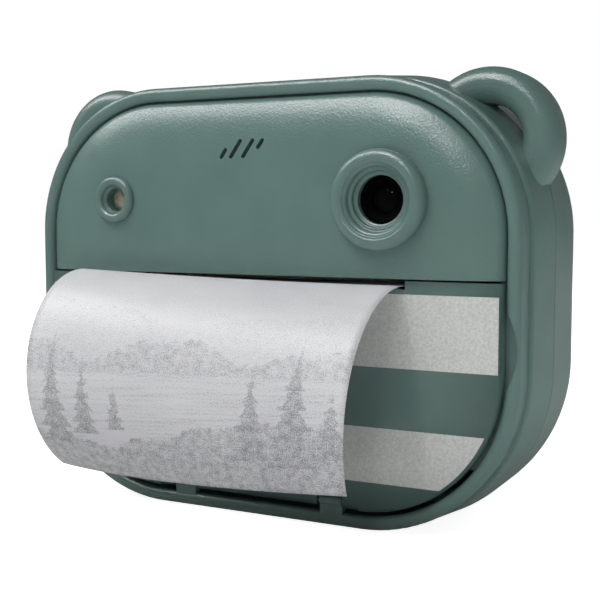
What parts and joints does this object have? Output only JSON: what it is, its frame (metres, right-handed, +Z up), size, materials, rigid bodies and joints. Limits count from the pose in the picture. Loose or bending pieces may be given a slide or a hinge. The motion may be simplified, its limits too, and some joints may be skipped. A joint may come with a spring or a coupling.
{
  "type": "kids instant-print camera",
  "caption": "Rounded toy camera with round strap ears, a domed face with lens and flash, a hinged paper door and a thermal printer feeding a curled paper strip.",
  "frame": {"origin": "middle of the flat resting face, on the table", "axes": "+X to the right seen from the front, +Y to the back, +Z up; the lens looks along -Y"},
  "size_m": [0.0948, 0.0608, 0.074],
  "materials": {
    "case_green": "satin with a fine grain",
    "stripe_pale": "sandy, slightly sparkling",
    "black_plastic": "matte",
    "dark_glass": "clear over a dark ground",
    "flash_clear": "clear, warm",
    "steel": "plain",
    "aluminium": "plain",
    "black_rubber": "matte",
    "brass": "plain",
    "gear_white": "satin",
    "paper_white": "matte thermal paper",
    "core_card": "matte",
    "head_ceramic": "satin",
    "board_green": "solder mask"
  },
  "bodies": {
    "case": {"front_shell": "case_green", "face_panel": "case_green", "back_shell": "case_green", "ear_left": "case_green", "ear_right": "case_green", "lens_ring": "case_green", "flash_bezel": "case_green", "lens_barrel": "black_plastic", "paper_bin": "black_plastic", "speaker": "black_plastic", "lcd_panel": "black_plastic", "lens_glass": "dark_glass", "screen_window": "dark_glass", "flash_lens": "flash_clear", "flash_led": "flash_clear", "hinge_pin": "steel", "head_spring": "steel", "gear_plate": "steel", "idler_pin": "steel", "feed_motor": "steel", "tact_switches": "steel", "usb_socket": "steel", "card_socket": "steel", "case_screws": "steel", "board_screws": "steel", "head_heatsink": "aluminium", "battery": "aluminium", "paper_web": "paper_white", "print_head": "head_ceramic", "sensor_board": "board_green", "main_board": "board_green", "top_board": "board_green", "key_board": "board_green", "io_board": "board_green"},
    "door": {"paper_door": "case_green", "door_stripe_upper": "stripe_pale", "door_stripe_lower": "stripe_pale", "tear_bar": "case_green", "platen_bushes": "brass", "paper_strip": "paper_white"},
    "platen": {"platen_roller": "black_rubber", "platen_shaft": "steel", "platen_gear": "gear_white"},
    "roll": {"paper_roll": "paper_white", "roll_core": "core_card"},
    "idler": {"idler_gear": "gear_white"},
    "pinion": {"motor_pinion": "brass"},
    "shutter": {"shutter_button": "stripe_pale"},
    "key_up": {"nav_up": "case_green"},
    "key_down": {"nav_down": "case_green"},
    "key_left": {"nav_left": "case_green"},
    "key_right": {"nav_right": "case_green"},
    "key_ok": {"ok_button": "case_green"},
    "key_power": {"power_button": "case_green"},
    "key_play": {"play_button": "case_green"},
    "flap": {"port_cover": "case_green"}
  },
  "joints": [
    {"name": "door_hinge", "type": "hinge", "parent": "case", "child": "door", "pos_m": [0, -0.01345, 0.00435], "axis": [1, 0, 0], "range_deg": [0, 60]},
    {"name": "roll_spin", "type": "hinge", "parent": "case", "child": "roll", "pos_m": [0, 0.004, 0.0189], "axis": [1, 0, 0], "continuous": true},
    {"name": "platen_spin", "type": "hinge", "parent": "door", "child": "platen", "pos_m": [0, -0.0066, 0.0349], "axis": [1, 0, 0], "continuous": true},
    {"name": "idler_spin", "type": "hinge", "parent": "case", "child": "idler", "pos_m": [0, 0.00322, 0.0327], "axis": [1, 0, 0], "continuous": true},
    {"name": "pinion_spin", "type": "hinge", "parent": "case", "child": "pinion", "pos_m": [0, 0.00813, 0.02569], "axis": [1, 0, 0], "continuous": true},
    {"name": "shutter_press", "type": "slide", "parent": "case", "child": "shutter", "axis": [0, 0, -1], "range_m": [0, 0.0008], "stiffness_N_per_m": 900},
    {"name": "key_up_press", "type": "slide", "parent": "case", "child": "key_up", "axis": [0, -1, 0], "range_m": [0, 0.0006], "stiffness_N_per_m": 900},
    {"name": "key_down_press", "type": "slide", "parent": "case", "child": "key_down", "axis": [0, -1, 0], "range_m": [0, 0.0006], "stiffness_N_per_m": 900},
    {"name": "key_left_press", "type": "slide", "parent": "case", "child": "key_left", "axis": [0, -1, 0], "range_m": [0, 0.0006], "stiffness_N_per_m": 900},
    {"name": "key_right_press", "type": "slide", "parent": "case", "child": "key_right", "axis": [0, -1, 0], "range_m": [0, 0.0006], "stiffness_N_per_m": 900},
    {"name": "key_ok_press", "type": "slide", "parent": "case", "child": "key_ok", "axis": [0, -1, 0], "range_m": [0, 0.0006], "stiffness_N_per_m": 900},
    {"name": "key_power_press", "type": "slide", "parent": "case", "child": "key_power", "axis": [0, -1, 0], "range_m": [0, 0.0006], "stiffness_N_per_m": 900},
    {"name": "key_play_press", "type": "slide", "parent": "case", "child": "key_play", "axis": [0, -1, 0], "range_m": [0, 0.0006], "stiffness_N_per_m": 900},
    {"name": "flap_hinge", "type": "hinge", "parent": "case", "child": "flap", "pos_m": [-0.0457, 0.006, 0.029], "axis": [0, -1, 0], "range_deg": [0, 95]}
  ],
  "couplings": [
    {"joint": "platen_spin", "follows": "roll_spin", "ratio": -2.6526},
    {"joint": "idler_spin", "follows": "roll_spin", "ratio": 1.7684},
    {"joint": "pinion_spin", "follows": "roll_spin", "ratio": -4.2442}
  ]
}
